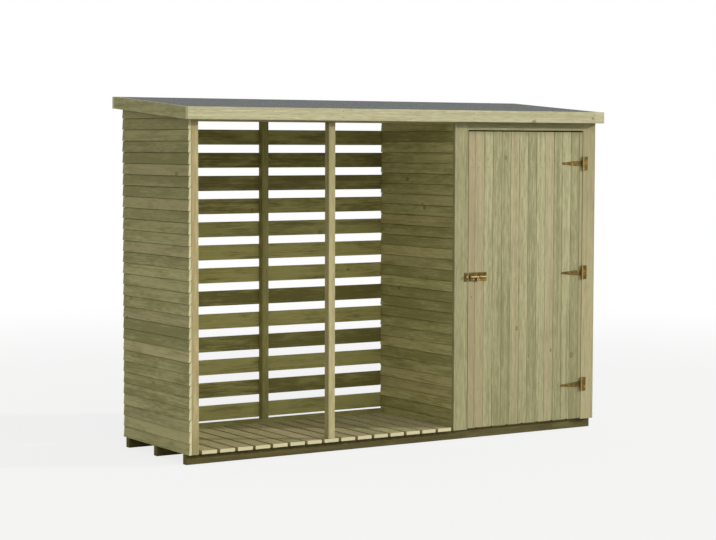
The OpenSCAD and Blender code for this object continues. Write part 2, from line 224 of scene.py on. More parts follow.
def treatedTimber(
    name, light, dark, contrast=1.0, saw=0.4, warm=1.0, ends=0.85, damp=0.0, dampReach=(-0.2, 1.7),
    stain=0.0, stainReach=(0.0, 1.0), grime=0.0, wood=treatedWood,
):
    material, start = blankMaterial(name)
    grain = start.node("ShaderNodeAttribute", {"attribute_name": "grain"}, out="Vector")
    board = start.node("ShaderNodeAttribute", {"attribute_name": "board"}, out="Vector")
    sawnEnd = start.node("ShaderNodeAttribute", {"attribute_name": "endGrain"}, out="Fac")
    tone, warmth, green = board.parts()

    # knots sit at random points; the distance to one is worked out in real metres, then in knot radii
    cell = wood["knotCell"]
    flat = grain.vector("MULTIPLY", cell)
    spots = start.node("ShaderNodeTexVoronoi", {"voronoi_dimensions": "2D"}, {"Vector": flat, "Scale": 1.0})
    chance, place = spots.outlets()[1:3]
    metres = (wood["knotSquash"] / cell[0], 1.0 / cell[1], 0.0)
    knotDistance = flat.vector("SUBTRACT", place).vector("MULTIPLY", metres).length()
    knotRadius = chance.parts()[0].step(1.0 - wood["knotShare"], 1.0) * wood["knotSize"] + wood["knotLeast"]
    reach = knotDistance / knotRadius
    knot = 1.0 - reach.step(*wood["knotEdge"])
    rim = reach.step(*wood["rimIn"]) * (1.0 - reach.step(*wood["rimOut"]))
    swing = 1.0 - reach.step(*wood["swingReach"])

    # rings round the pith wander a little and swing round the knots; late wood is the dark part of a ring
    drift = grain.noise(*wood["drift"], out="Color").parts()
    y, z = grain.parts()[1:]
    wobble = wood["ringWobble"]
    fromPith = start.node("ShaderNodeCombineXYZ", None, {
        1: y + (drift[0] - 0.5) * wobble, 2: z + (drift[1] - 0.5) * wobble,
    })
    radius = fromPith.length() + swing * knotRadius * wood["knotSwing"]
    ring = (radius * wood["ringsPerMetre"] + drift[2] * wood["ringDrift"]).fraction()
    late = ring.step(*wood["lateIn"]) * (1.0 - ring.step(*wood["lateOut"]))

    fibre, fleck, streak, blotch = [grain.noise(*wood[key]) for key in ("fibre", "fleck", "streak", "blotch")]
    check = grain.noise(*wood["check"]).step(*wood["checkRange"])
    share = wood["tone"]
    brightness = (
        share["middle"]
        + (tone - 0.5) * share["board"] * contrast + (blotch - 0.5) * share["blotch"] * contrast
        + (streak - 0.5) * share["streak"] + (fleck - 0.5) * share["fleck"] + (fibre - 0.5) * share["fibre"]
        - late * share["late"]
    )
    colour = brightness.step(*wood["toneRange"]).mix(paint(*dark), paint(*light))
    pinkBoard = warmth.step(*wood["pinkFrom"]) * wood["pinkBoards"]
    pinkStreak = streak.step(*wood["pinkStreaksFrom"]) * wood["pinkStreaks"]
    colour = ((pinkBoard + pinkStreak) * warm).mix(colour, paint(*wood["pinkCast"]))
    mossBoard = green.step(*wood["mossFrom"]) * wood["mossBoards"]
    mossBlotch = blotch.step(*wood["mossBlotchesFrom"]) * wood["mossBlotches"]
    colour = (mossBoard + mossBlotch).mix(colour, paint(*wood["mossCast"]))
    if damp or stain or grime:
        rise = start.node("ShaderNodeTexCoord", out="Object").parts()[2]
        level = rise + (blotch - 0.5) * wood["ragged"]
    if damp:  # darker towards the foot
        colour = ((1.0 - level.step(*dampReach)) * damp).mix(colour, paint(*wood["dampColour"]))
    if stain:  # painted shade just under the top ends of the boards, below the door head
        colour = (rise.step(*stainReach) * stain).mix(colour, paint(*wood["dampColour"]))
    if grime:  # painted shade under the eaves, darker towards the top
        colour = (level.step(*wood["grimeReach"]) * grime).mix(colour, paint(*wood["grimeColour"]))
    colour = (check * wood["checkDark"]).mix(colour, paint(*wood["checkColour"]))
    colour = (knot * wood["knotDark"]).mix(colour, paint(*wood["knotColour"]))
    colour = (rim * wood["knotDark"]).mix(colour, paint(*wood["knotRim"]))
    colour = (sawnEnd * (1.0 - late * wood["endRings"]) * ends).mix(colour, paint(*wood["endColour"]))

    relief = wood["relief"]
    raised = fibre * saw + fleck * relief["fleck"] + knot * relief["knot"]
    height = raised - late * relief["late"] - check * relief["check"]
    bump = start.node("ShaderNodeBump", None, {
        "Height": height, "Strength": wood["bump"], "Distance": wood["fibreDepth"],
    })
    roughness = wood["roughness"] - late * wood["lateSmooth"] - knot * wood["knotSmooth"]
    coverWith(start, {
        "Base Color": colour, "Roughness": roughness, "Specular IOR Level": wood["specular"], "Normal": bump,
    })
    return material


def islandsOf(bm):  # the faces of each separate board
    waiting = set(bm.faces)
    while waiting:
        seed = min(waiting, key=lambda face: face.index)
        waiting.remove(seed)
        edge, found = [seed], [seed]
        while edge:
            face = edge.pop()
            for near in {f for e in face.edges for f in e.link_faces} & waiting:
                waiting.remove(near)
                edge.append(near)
                found.append(near)
        yield sorted(found, key=lambda face: face.index)


# where in a trunk a board may be cut: metres along it, aside from the pith, and off it in depth;
# a face that looks along the grain by more than endFacing is a sawn end
trunk = {"length": 40.0, "aside": 80 * mm, "pithNear": 12 * mm, "pithFar": 70 * mm, "endFacing": 0.8}


def markGrain(bm, along=None):
    # each board gets its own place in a trunk, its own tone, and a mark on its sawn ends
    grain = bm.verts.layers.float_vector.new("grain")
    board = bm.verts.layers.float_vector.new("board")
    sawnEnd = bm.faces.layers.float.new("endGrain")
    bm.faces.index_update()
    bm.normal_update()
    for faces in list(islandsOf(bm)):
        verts = sorted({v for face in faces for v in face.verts}, key=lambda vert: vert.index)
        low = Vector([min(v.co[i] for v in verts) for i in range(3)])
        high = Vector([max(v.co[i] for v in verts) for i in range(3)])
        order = sorted(range(3), key=lambda i: low[i] - high[i])
        length = along or axes[order[0]]
        depth = axes[order[2]]
        width = depth.cross(length).normalized()
        centre = (low + high) / 2
        heart = Vector((
            dice.uniform(0, trunk["length"]),
            dice.uniform(-trunk["aside"], trunk["aside"]),
            dice.choice((-1, 1)) * dice.uniform(trunk["pithNear"], trunk["pithFar"]),
        ))
        chance = Vector((dice.random(), dice.random(), dice.random()))
        for vert in verts:
            at = vert.co - centre
            vert[grain] = Vector((at.dot(length), at.dot(width), at.dot(depth))) + heart
            vert[board] = chance
        for face in faces:
            face[sawnEnd] = 1.0 if abs(face.normal.dot(length)) > trunk["endFacing"] else 0.0


def skin(bm, rings):
    # closed solid through rings of points, with a cap on the first and the last
    made = [[bm.verts.new(point) for point in ring] for ring in rings]
    for inner, outer in zip(made, made[1:]):
        for j in range(len(inner)):
            bm.faces.new((inner[j - 1], outer[j - 1], outer[j], inner[j]))
    bm.faces.new(made[0])
    bm.faces.new(made[-1][::-1])


def turnOutward(bm):
    bmesh.ops.recalc_face_normals(bm, faces=bm.faces[:])


def ease(bm, width, segments=1):
    bmesh.ops.bevel(
        bm, geom=bm.edges[:], offset=width, offset_type="OFFSET", segments=segments,
        profile=0.5, affect="EDGES", clamp_overlap=True,  # a profile of 0.5 is round
    )


def addPiece(name, bm, material, body, slot, nodes=()):
    mesh = bpy.data.meshes.new(name)
    bm.to_mesh(mesh)
    bm.free()
    mesh.materials.append(material)
    piece = bpy.data.objects.new(name, mesh)
    bpy.context.scene.collection.objects.link(piece)
    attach(piece, body)
    if nodes:
        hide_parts(*nodes)


# solids are cleaned before their edges are eased: points this near are one, faces this near are flat
cleaning = {"weld": 0.001 * mm, "flat": radians(0.5), "segments": 2}


def easedTimber(node, slot, body, finish, width, along=None):
    # the node's own boards with planed arrises
    bm = bmesh.new()
    bm.from_mesh(frame["nodes"][node].data)
    bmesh.ops.remove_doubles(bm, verts=bm.verts[:], dist=cleaning["weld"])
    bmesh.ops.dissolve_limit(bm, angle_limit=cleaning["flat"], verts=bm.verts[:], edges=bm.edges[:])
    ease(bm, width, cleaning["segments"])
    markGrain(bm, along)
    addPiece(node + "_timber", bm, finish, body, slot, [node])


# plain timbers that keep the shape of their solids: finish, width of the eased edges, and the nodes
plainTimbers = {
    "bearerTimber": {
        # dark olive paint: partly the bearers' own colour, partly painted shade under the overhanging floor
        # slats
        "finish": {"light": (86, 78, 22), "dark": (57, 51, 9), "warm": 0.2, "ends": 0.05},
        "slot": "bearer_timber", "ease": 2.0 * mm, "nodes": ["front_bearer", "middle_bearer", "rear_bearer"],
    },
    "floorTimber": {
        "finish": {"light": (186, 178, 134), "dark": (140, 132, 90)},
        "slot": "floor_timber", "ease": 1.5 * mm, "nodes": ["bay_floor_slats", "cupboard_floor_slats"],
    },
    "cornerPostTimber": {
        "finish": {
            "light": (213, 194, 145), "dark": (162, 146, 101), "contrast": 1.6,
            "damp": 0.45, "dampReach": (0.0, 0.4),
        },
        "slot": "frame_timber", "ease": 2.0 * mm, "nodes": ["left_front_post"],
    },
    "middlePostTimber": {
        # painted shade under the eaves darkens the tops of the middle post and the header
        "finish": {"light": (207, 193, 146), "dark": (161, 150, 107), "grime": 0.3},
        "slot": "frame_timber", "ease": 2.0 * mm, "nodes": ["middle_post", "front_header"],
    },
    "rearFrameTimber": {
        # darker, greener paint: partly the timber's colour, partly painted shade inside the bay
        "finish": {"light": (152, 146, 86), "dark": (104, 101, 52), "warm": 0.2},
        "slot": "frame_timber", "ease": 2.0 * mm,
        "nodes": [
            "left_rear_post", "divider_rear_post", "bay_rear_stud", "bay_rear_rails", "left_wall_rails",
        ],
    },
    "innerFrameTimber": {
        "finish": {"light": (188, 176, 130), "dark": (144, 134, 92)},
        "slot": "frame_timber", "ease": 2.0 * mm,
        "nodes": [
            "divider_front_post", "divider_rails", "right_front_post", "right_rear_post", "right_wall_rails",
            "cupboard_rear_stud", "cupboard_rear_rails",
        ],
    },
    "rearSlatTimber": {
        # darker, greener paint of the slats: partly the timber's colour, partly painted shade inside the bay
        "finish": {
            "light": (168, 161, 98), "dark": (105, 100, 51), "contrast": 1.9, "saw": 0.9, "warm": 0.2,
        },
        "slot": "rear_slat_timber", "ease": 1.2 * mm, "nodes": ["bay_rear_slats"],
    },
    "doorFrameTimber": {
        "finish": {"light": (176, 169, 128), "dark": (132, 128, 90)},
        "slot": "door_frame_timber", "ease": 0.9 * mm, "nodes": ["left_door_stile", "door_head"],
    },
    "hingeStileTimber": {
        # painted shade under the eaves darkens the top of the hinge stile
        "finish": {"light": (181, 172, 130), "dark": (139, 133, 95), "grime": 0.2},
        "slot": "door_frame_timber", "ease": 0.9 * mm, "nodes": ["right_door_stile"],
    },
    "fasciaTimber": {
        "finish": {"light": (207, 201, 164), "dark": (166, 161, 123), "contrast": 0.8},
        "slot": "roof_trim_timber", "ease": 1.8 * mm, "nodes": ["front_fascia", "rear_fascia"],
    },
    "bargeTimber": {
        "finish": {"light": (198, 192, 143), "dark": (144, 139, 94), "contrast": 1.4},
        "slot": "roof_trim_timber", "ease": 1.8 * mm, "nodes": ["left_barge_board", "right_barge_board"],
    },
}
for name, spec in plainTimbers.items():
    finish = treatedTimber(name, **spec["finish"])
    for node in spec["nodes"]:
        easedTimber(node, spec["slot"], "store", finish, spec["ease"])
print("plain timbers made")


# roof line that the wall tops are cut to, taken from the felt, the deck and the front fascia
feltLow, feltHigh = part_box("roof_felt")
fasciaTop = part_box("front_fascia")[1].z
roof = {
    "left": feltLow.x, "right": feltHigh.x, "front": feltLow.y, "rear": feltHigh.y, "top": fasciaTop,
    "pitch": atan2(feltHigh.z - fasciaTop, feltHigh.y - feltLow.y),
    "felt": fasciaTop - feltLow.z, "deck": feltLow.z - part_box("roof_deck")[0].z, "seat": 0.2 * mm,
}
roofNormal = Vector((0, -sin(roof["pitch"]), cos(roof["pitch"])))
frameDown = roof["felt"] + roof["deck"] + roof["seat"]


def roofHeight(y, down=0.0):
    return roof["top"] + (y - roof["front"]) * tan(roof["pitch"]) - down


# shiplap boards of the walls: a tongue at the top of each stands behind the foot of the next
lapped = {
    "contrast": 1.8, "saw": 0.9,
    "finishes": {
        # painted shade under the eaves darkens the tops of these boards
        "shadyWallBoards": {"light": (194, 187, 133), "dark": (138, 134, 84), "grime": 0.42},
        # a paler copy of the wall paint: painted light on the divider inside the bay
        "innerWallBoards": {"light": (204, 197, 138), "dark": (147, 143, 88)},
        # a duller, darker copy of the wall paint, toned down for the wall that the key lamp lights: painted
        # light
        "sunnyWallBoards": {"light": (176, 168, 126), "dark": (130, 125, 85)},
    },
    "rise": 55.5 * mm, "step": 4 * mm, "tongue": 5.5 * mm, "tongueUp": 6 * mm, "shadowGap": 1.8 * mm,
    "play": 0.3 * mm, "endPlay": 1.5 * mm, "shift": 0.5 * mm, "ease": 0.6 * mm, "shortest": 14 * mm,
    # the axis that a wall's boards run along, and the way that they face on the other one
    "walls": {
        "left_wall_cladding": {"run": 1, "side": -1, "finish": "shadyWallBoards"},
        "divider_cladding": {"run": 1, "side": -1, "finish": "innerWallBoards"},
        "right_wall_cladding": {"run": 1, "side": 1, "finish": "sunnyWallBoards"},
        "cupboard_rear_cladding": {"run": 0, "side": 1, "finish": "shadyWallBoards"},
    },
}


def wallPlace(node):
    # where a wall's boards start and end, and the face of the posts behind them
    run, side = lapped["walls"][node]["run"], lapped["walls"][node]["side"]
    across = 1 - run
    low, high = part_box(node)
    return {
        "run": run, "across": across, "side": side, "start": low[run], "end": high[run],
        "foot": low.z, "top": high.z, "thick": high[across] - low[across],
        "posts": high[across] if side < 0 else low[across],
    }


def lapSection(spec, thick, first):
    # u out from the posts, v up from the foot of the board
    thick = thick - dice.uniform(0, spec["shift"])
    shoulder = spec["rise"] - spec["shadowGap"]
    tongueTop = spec["rise"] + spec["tongueUp"]
    upper = [
        (thick, 0.0), (thick - spec["step"], shoulder), (spec["tongue"], shoulder),
        (spec["tongue"], tongueTop), (0.0, tongueTop),
    ]
    if first:
        return upper + [(0.0, 0.0)]
    groove = spec["tongue"] + spec["play"], spec["tongueUp"] + spec["play"]
    return upper + [(0.0, groove[1]), groove, (groove[0], 0.0)]


def cutUnderRoof(bm, shortest):
    cut = bmesh.ops.bisect_plane(
        bm, geom=bm.verts[:] + bm.edges[:] + bm.faces[:], clear_outer=True,
        plane_co=Vector((0, roof["front"], roofHeight(roof["front"], frameDown))), plane_no=roofNormal,
    )
    edges = [item for item in cut["geom_cut"] if isinstance(item, bmesh.types.BMEdge)]
    bmesh.ops.edgeloop_fill(bm, edges=edges)
    # a strip that is too low to be a board is left out
    slivers = set()
    bm.faces.index_update()
    for faces in list(islandsOf(bm)):
        verts = {v for face in faces for v in face.verts}
        heights = [v.co.z for v in verts]
        if max(heights) - min(heights) < shortest:
            slivers |= verts
    bmesh.ops.delete(bm, geom=list(slivers), context="VERTS")


def lapBoards(spec, wall):
    bm = bmesh.new()
    count = int((wall["top"] - wall["foot"]) / spec["rise"]) + 1
    for i in range(count):
        base = wall["foot"] + i * spec["rise"]
        section = lapSection(spec, wall["thick"], i == 0)
        start = wall["start"] + dice.uniform(0, spec["endPlay"])
        end = wall["end"] - dice.uniform(0, spec["endPlay"])
        rings = []
        for at in (start, end):
            ring = []
            for u, v in section:
                point = Vector((0, 0, base + v))
                point[wall["run"]] = at
                point[wall["across"]] = wall["posts"] + wall["side"] * u
                ring.append(point)
            rings.append(ring)
        skin(bm, rings)
    cutUnderRoof(bm, spec["shortest"])
    turnOutward(bm)
    ease(bm, spec["ease"])
    markGrain(bm, axes[wall["run"]])
    return bm


wallFinishes = {
    name: treatedTimber(name, contrast=lapped["contrast"], saw=lapped["saw"], **paints)
    for name, paints in lapped["finishes"].items()
}
for node, wall in lapped["walls"].items():
    finish = wallFinishes[wall["finish"]]
    addPiece(node + "_boards", lapBoards(lapped, wallPlace(node)), finish, "store", "wall_boards", [node])
print("wall boards made")


# ledged and braced door of upright matchboards, the outer two trimmed to the door's width
doorLow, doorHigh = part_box("door_boards")
ledgeLow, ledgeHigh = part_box("door_ledges")
latchLow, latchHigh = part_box("latch_plate")
door = {
    "finish": {
        "light": (192, 185, 143), "dark": (132, 129, 90), "contrast": 0.68, "warm": 2.2, "damp": 0.32,
        # the tops of the boards take painted shade just under the door head
        "stain": 0.4, "stainReach": (doorHigh.z - 32 * mm, doorHigh.z + 2 * mm),
    },
    "first": 39 * mm, "board": 57.5 * mm, "veeWidth": 2.6 * mm, "veeDepth": 1.6 * mm, "joint": 0.1 * mm,
    # a little wider and lower than the solid, for the narrow gaps of a real door; it still swings clear
    "spareLeft": 2.2 * mm, "spareRight": 2.0 * mm, "lowered": 1.5 * mm,
    "footPlay": 0.8 * mm, "topPlay": 0.6 * mm, "ease": 0.6 * mm, "ledgeWidth": 70 * mm, "ledgeEase": 2.0 * mm,
}
doorJoints = [doorLow.x + door["first"]]
while doorJoints[-1] + door["board"] < doorHigh.x - 2 * door["veeWidth"]:
    doorJoints.append(doorJoints[-1] + door["board"])
doorEdges = [doorLow.x - door["spareLeft"]] + doorJoints + [doorHigh.x + door["spareRight"]]
ledgeHeights = [
    ledgeLow.z + door["ledgeWidth"] / 2, (latchLow.z + latchHigh.z) / 2, ledgeHigh.z - door["ledgeWidth"] / 2,
]


def doorBoards(spec):
    bm = bmesh.new()
    front, back, top = doorLow.y, doorHigh.y, doorHigh.z - spec["lowered"]
    vee = spec["veeWidth"] / 2
    last = len(doorEdges) - 2
    for i, (low, high) in enumerate(zip(doorEdges, doorEdges[1:])):
        leftEdge, rightEdge = [(low, front)], [(high, front)]
        if i > 0:
            low += spec["joint"]
            leftEdge = [(low, front + spec["veeDepth"]), (low + vee, front)]
        if i < last:
            high -= spec["joint"]
            rightEdge = [(high - vee, front), (high, front + spec["veeDepth"])]
        outline = [(high, back), (low, back)] + leftEdge + rightEdge
        lower = [(x, y, doorLow.z + dice.uniform(0, spec["footPlay"])) for x, y in outline]
        upper = [(x, y, top - dice.uniform(0, spec["topPlay"])) for x, y in outline]
        skin(bm, [lower, upper])
    turnOutward(bm)
    ease(bm, spec["ease"])
    markGrain(bm, axes[2])
    return bm


doorFinish = treatedTimber("doorTimber", **door["finish"])
addPiece("door_matchboards", doorBoards(door), doorFinish, "door", "door_timber", ["door_boards"])
easedTimber("door_ledges", "door_timber", "door", doorFinish, door["ledgeEase"])
braceRise = ledgeHeights[1] - ledgeHeights[0] - door["ledgeWidth"]
braceRun = ledgeHigh.x - ledgeLow.x - door["ledgeWidth"]
braceLine = Vector((-braceRun, 0, braceRise)).normalized()
easedTimber("door_braces", "door_timber", "door", doorFinish, door["ledgeEase"], braceLine)
print("door made")


# roof boards under the felt, laid along the roof
deck = {
    "finish": {"light": (190, 178, 132), "dark": (146, 136, 92)},
    "boards": 8, "joint": 0.4 * mm, "ease": 1.2 * mm,
}


def deckBoards(spec):
    bm = bmesh.new()
    step = (roof["rear"] - roof["front"]) / spec["boards"]
    last = spec["boards"] - 1
    for i in range(spec["boards"]):
        low = roof["front"] + i * step + spec["joint"] * (i > 0)
        high = roof["front"] + (i + 1) * step - spec["joint"] * (i < last)
        under = roof["felt"] + roof["deck"]
        corners = [
            (y, roofHeight(y, down))
            for y, down in ((low, under), (high, under), (high, roof["felt"]), (low, roof["felt"]))
        ]
        skin(bm, [[(x, y, z) for y, z in corners] for x in (roof["left"], roof["right"])])
    turnOutward(bm)
    ease(bm, spec["ease"])
    markGrain(bm, axes[0])
    return bm


deckFinish = treatedTimber("roofDeckTimber", **deck["finish"])
addPiece("roof_boards", deckBoards(deck), deckFinish, "store", "roof_deck_timber", ["roof_deck"])
print("roof boards made")


# mineral felt: grey granules pressed into bitumen, thinner in patches
felt = {
    # plain granules, then the others, each with the chance from which it shows
    "plain": (93, 97, 97), "granulesPerMetre": 420.0,
    "granules": [((117, 121, 118), (0.3, 0.7)), ((77, 81, 84), (0.7, 0.8)), ((143, 145, 139), (0.85, 0.9))],
    "bitumen": (70, 72, 76), "between": 0.7, "betweenFrom": (0.55, 0.8), "wear": 0.25, "speckled": 0.5,
    "patch": ((3.0, 5.0, 5.0), 4.0), "speckle": ((160.0, 160.0, 160.0), 2.0),
    "depth": 1.2 * mm, "patchDepth": 0.4, "bump": 0.7, "roughness": 0.9, "specular": 0.25,
}


def mineralFelt(spec):
    material, start = blankMaterial("mineralFelt")
    place = start.node("ShaderNodeTexCoord", out="Object")
    granule = start.node("ShaderNodeTexVoronoi", None, {"Vector": place, "Scale": spec["granulesPerMetre"]})
    distance, chance = granule.outlets()[:2]
    patch = place.noise(*spec["patch"])
    speckle = place.noise(*spec["speckle"])
    colour = paint(*spec["plain"])
    for pick, (tint, showsFrom) in zip(chance.parts(), spec["granules"]):
        colour = pick.step(*showsFrom).mix(colour, paint(*tint))
    between = distance.step(*spec["betweenFrom"]) * spec["between"]
    bare = between + (patch - 0.5) * spec["wear"] + (speckle - 0.5) * spec["speckled"]
    colour = bare.mix(colour, paint(*spec["bitumen"]))
    height = 1.0 - distance + patch * spec["patchDepth"]
    bump = start.node("ShaderNodeBump", None, {
        "Height": height, "Strength": spec["bump"], "Distance": spec["depth"],
    })
    coverWith(start, {
        "Base Color": colour, "Roughness": spec["roughness"], "Specular IOR Level": spec["specular"],
        "Normal": bump,
    })
    return material


def repaint(node, finish):
    materials = frame["nodes"][node].data.materials
    materials.clear()
    materials.append(finish)


repaint("roof_felt", mineralFelt(felt))
print("felt made")


# hinges, plates and screws in tarnished bronze, and a bolt made brighter, partly rubbed by use and partly a
# painted highlight
hardware = {
    "ease": 0.5 * mm, "easeSegments": 2, "easeAngle": radians(40),
    # tarnish lies in clouds with grit in them, and the clearest places are bright
    "cloud": ((38.0, 38.0, 38.0), 4.0), "cloudShare": 1.1,
    "grit": ((420.0, 420.0, 420.0), 3.0), "gritShare": 0.35,
    "plainFrom": (0.55, 1.0), "brightFrom": (0.58, 0.72), "brightShare": 0.6,
    "gritDepth": 0.4 * mm, "cloudDepth": 0.5, "bump": 0.3,
    "metallic": 0.75, "roughness": 0.36, "gritRough": 0.3,
    # what stands out from the door is painted brighter, partly rubbed by use and partly a painted highlight,
    # from none at the first distance to all at the second
    "rubbedOut": (4 * mm, 11 * mm), "rubbedShare": 0.5,
    "tarnishedBronze": {
        "colour": (120, 97, 40), "tarnish": (74, 60, 20), "bright": (180, 150, 86),
        "nodes": ["hinge_plates", "hinge_straps", "latch_plate", "latch_keep"],
    },
    # the bolt's paler paint is partly worn metal, partly a painted highlight
    "rubbedBronze": {
        "colour": (156, 128, 76), "tarnish": (108, 85, 40), "bright": (204, 180, 132),
        "nodes": ["latch_bolt"],
    },
}


def bronzeFinish(name, spec):
    material, start = blankMaterial(name)
    place = start.node("ShaderNodeTexCoord", out="Object")
    cloud = place.noise(*spec["cloud"])
    grit = place.noise(*spec["grit"])
    plain, tarnish, bright = [paint(*spec[name][key]) for key in ("colour", "tarnish", "bright")]
    clear = cloud * spec["cloudShare"] + grit * spec["gritShare"]
    colour = clear.step(*spec["plainFrom"]).mix(tarnish, plain)
    colour = (cloud.step(*spec["brightFrom"]) * spec["brightShare"]).mix(colour, bright)
    # raised parts are painted brighter: partly wear, partly a painted highlight
    near, far = [doorLow.y - out for out in spec["rubbedOut"]]
    rubbedAndHighlit = 1.0 - place.parts()[1].step(far, near)
    colour = (rubbedAndHighlit * spec["rubbedShare"]).mix(colour, bright)
    bump = start.node("ShaderNodeBump", None, {
        "Height": grit + cloud * spec["cloudDepth"], "Strength": spec["bump"], "Distance": spec["gritDepth"],
    })
    coverWith(start, {
        "Base Color": colour, "Metallic": spec["metallic"], "Normal": bump,
        "Roughness": spec["roughness"] + grit * spec["gritRough"],
    })
    return material


def easeMetal(node, spec):
    bevel = frame["nodes"][node].modifiers.new("easedEdges", "BEVEL")
    bevel.width = spec["ease"]
    bevel.segments = spec["easeSegments"]
    bevel.limit_method = "ANGLE"
    bevel.angle_limit = spec["easeAngle"]


bronze = bronzeFinish("tarnishedBronze", hardware)
rubbedBronze = bronzeFinish("rubbedBronze", hardware)
for finish in (bronze, rubbedBronze):
    for node in hardware[finish.name]["nodes"]:
        repaint(node, finish)
        easeMetal(node, hardware)
print("hardware finished")


# screws with a cross recess, their heads on the leaves of the hinges and on the plates of the bolt;
# the profile gives shares of the radius and of the rise
screw = {
    "radius": 3.4 * mm, "rise": 1.1 * mm, "slot": 2.2 * mm, "blade": 0.45 * mm, "depth": 0.7 * mm,
    "slotAngle": 0.18, "profile": ((0.72, 0.98), (0.92, 0.62), (1.0, 0.2), (1.0, -0.3)),
    "leaf": 2.5 * mm, "alongStrap": (24 * mm, 62 * mm, 100 * mm),
    "plateAside": 22.5 * mm, "plateUp": (-26 * mm, 0.0, 26 * mm),
    "latchPlate": 2 * mm, "latchInset": 8.5 * mm, "latchUp": (-17.25 * mm, 17.25 * mm),
}


def addScrew(bm, place, spec, turn):
    # plus shaped recess inside rings that fall away to the rim, seen from the front (-Y)
    blade, slot, lean = spec["blade"], spec["slot"], spec["slotAngle"]
    arm = [(slot, -blade), (slot, blade), (blade, blade)]
    plus, angles = [], []
    for quarter in range(4):
        plus += arm
        arm = [(-z, x) for x, z in arm]
        angles += [quarter * pi / 2 + angle for angle in (-lean, lean, pi / 4)]
    radius, rise = spec["radius"], spec["rise"]
    levels = [[(x, rise - spec["depth"], z) for x, z in plus], [(x, rise, z) for x, z in plus]]
    for share, up in spec["profile"]:
        levels.append([(radius * share * cos(t), rise * up, radius * share * sin(t)) for t in angles])
    spin = Matrix.Rotation(-turn, 3, "Y")
    skin(bm, [[place + spin @ Vector((x, -up, z)) for x, up, z in level] for level in levels])


def addScrews(name, body, places):
    bm = bmesh.new()
    for place in places:
        addScrew(bm, Vector(place), screw, dice.uniform(0, pi))
    turnOutward(bm)
    addPiece(name, bm, bronze, body, "hardware")


hingeX = [joint for joint in frame["joints"] if joint["name"] == "door_hinge"][0]["pos_m"][0]
keepLow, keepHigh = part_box("latch_keep")
leafFace = doorLow.y - screw["leaf"]
plateFace = doorLow.y - screw["latchPlate"]
latchHeights = [ledgeHeights[1] + up for up in screw["latchUp"]]
latchColumns = (latchLow.x + screw["latchInset"], latchHigh.x - screw["latchInset"])
strapScrews = [(hingeX - along, leafFace, z) for z in ledgeHeights for along in screw["alongStrap"]]
plateScrews = [
    (hingeX + screw["plateAside"], leafFace, z + up) for z in ledgeHeights for up in screw["plateUp"]
]
latchScrews = [(x, plateFace, z) for x in latchColumns for z in latchHeights]
keepScrews = [((keepLow.x + keepHigh.x) / 2, plateFace, z) for z in latchHeights]
addScrews("door_screws", "door", strapScrews + latchScrews)
addScrews("stile_screws", "store", plateScrews + keepScrews)
print("screws made")


# round nail heads, galvanised and dulled; the profile is like that of the screws
nail = {
    "radius": 2.1 * mm, "rise": 0.5 * mm, "sides": 10,
    "profile": ((0.55, 1.0), (0.92, 0.75), (1.0, 0.2), (1.0, -1.0)),
    "colour": (112, 108, 92), "rust": (92, 70, 44),
    "spots": ((90.0, 90.0, 90.0), 2.0), "rustFrom": (0.45, 0.65),
    "metallic": 0.5, "roughness": 0.55, "spotRough": 0.2,
}


def dulledZinc(spec):
    material, start = blankMaterial("dulledZinc")
    spots = start.node("ShaderNodeTexCoord", out="Object").noise(*spec["spots"])
    colour = spots.step(*spec["rustFrom"]).mix(paint(*spec["colour"]), paint(*spec["rust"]))
    coverWith(start, {
        "Base Color": colour, "Metallic": spec["metallic"],
        "Roughness": spec["roughness"] + spots * spec["spotRough"],
    })
    return material


zinc = dulledZinc(nail)


def addNails(name, body, spots, size=1.0):
    bm = bmesh.new()
    radius, rise = nail["radius"] * size, nail["rise"] * size
    angles = [2 * pi * k / nail["sides"] for k in range(nail["sides"])]
    for place, facing in spots:
        out = Vector(facing).normalized()
        side = out.orthogonal().normalized()
        other = out.cross(side)
        rings = []
        for share, up in nail["profile"]:
            middle = Vector(place) + out * (rise * up)
            rings.append([middle + radius * share * (side * cos(t) + other * sin(t)) for t in angles])
        skin(bm, rings)
    turnOutward(bm)
    addPiece(name, bm, zinc, body, "hardware")


# where the nails go: over the posts, studs, bearers and ledges that carry the boards
nailing = {
    "jitter": 3 * mm,
    "lapUp": 27 * mm, "lapClear": 12 * mm,
    "slatWidth": 78 * mm, "slatPitch": 119.5 * mm, "slatPair": (-18 * mm, 18 * mm),
    "floorWidth": 83 * mm, "floorPair": (-24 * mm, 24 * mm),
    "floors": {"bay_floor_slats": 15, "cupboard_floor_slats": 8},
    "bearers": ("front_bearer", "middle_bearer", "rear_bearer"),
    "fasciaPairs": 7, "fasciaReach": 1.19, "bargePlaces": (-0.33, 0.0, 0.33), "trimDown": (14 * mm, 46 * mm),
    "feltEdge": 18 * mm, "feltStep": 0.15, "feltSize": 1.9,
    "doorPair": (-20 * mm, 20 * mm), "boltClear": 15 * mm,
    "posts": {
        "left_wall_cladding": ("left_front_post", "left_rear_post"),
        "divider_cladding": ("divider_front_post", "divider_rear_post"),
        "right_wall_cladding": ("right_front_post", "right_rear_post"),
        "cupboard_rear_cladding": ("divider_rear_post", "cupboard_rear_stud", "right_rear_post"),
        "bay_rear_slats": ("left_rear_post", "bay_rear_stud", "divider_rear_post"),
    },
}


def nudge():
    return dice.uniform(-nailing["jitter"], nailing["jitter"])


def middleOver(boards, post, axis):
    # middle of the stretch where boards lie over a post
    boardsLow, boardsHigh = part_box(boards)
    postLow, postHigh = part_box(post)
    return (max(boardsLow[axis], postLow[axis]) + min(boardsHigh[axis], postHigh[axis])) / 2


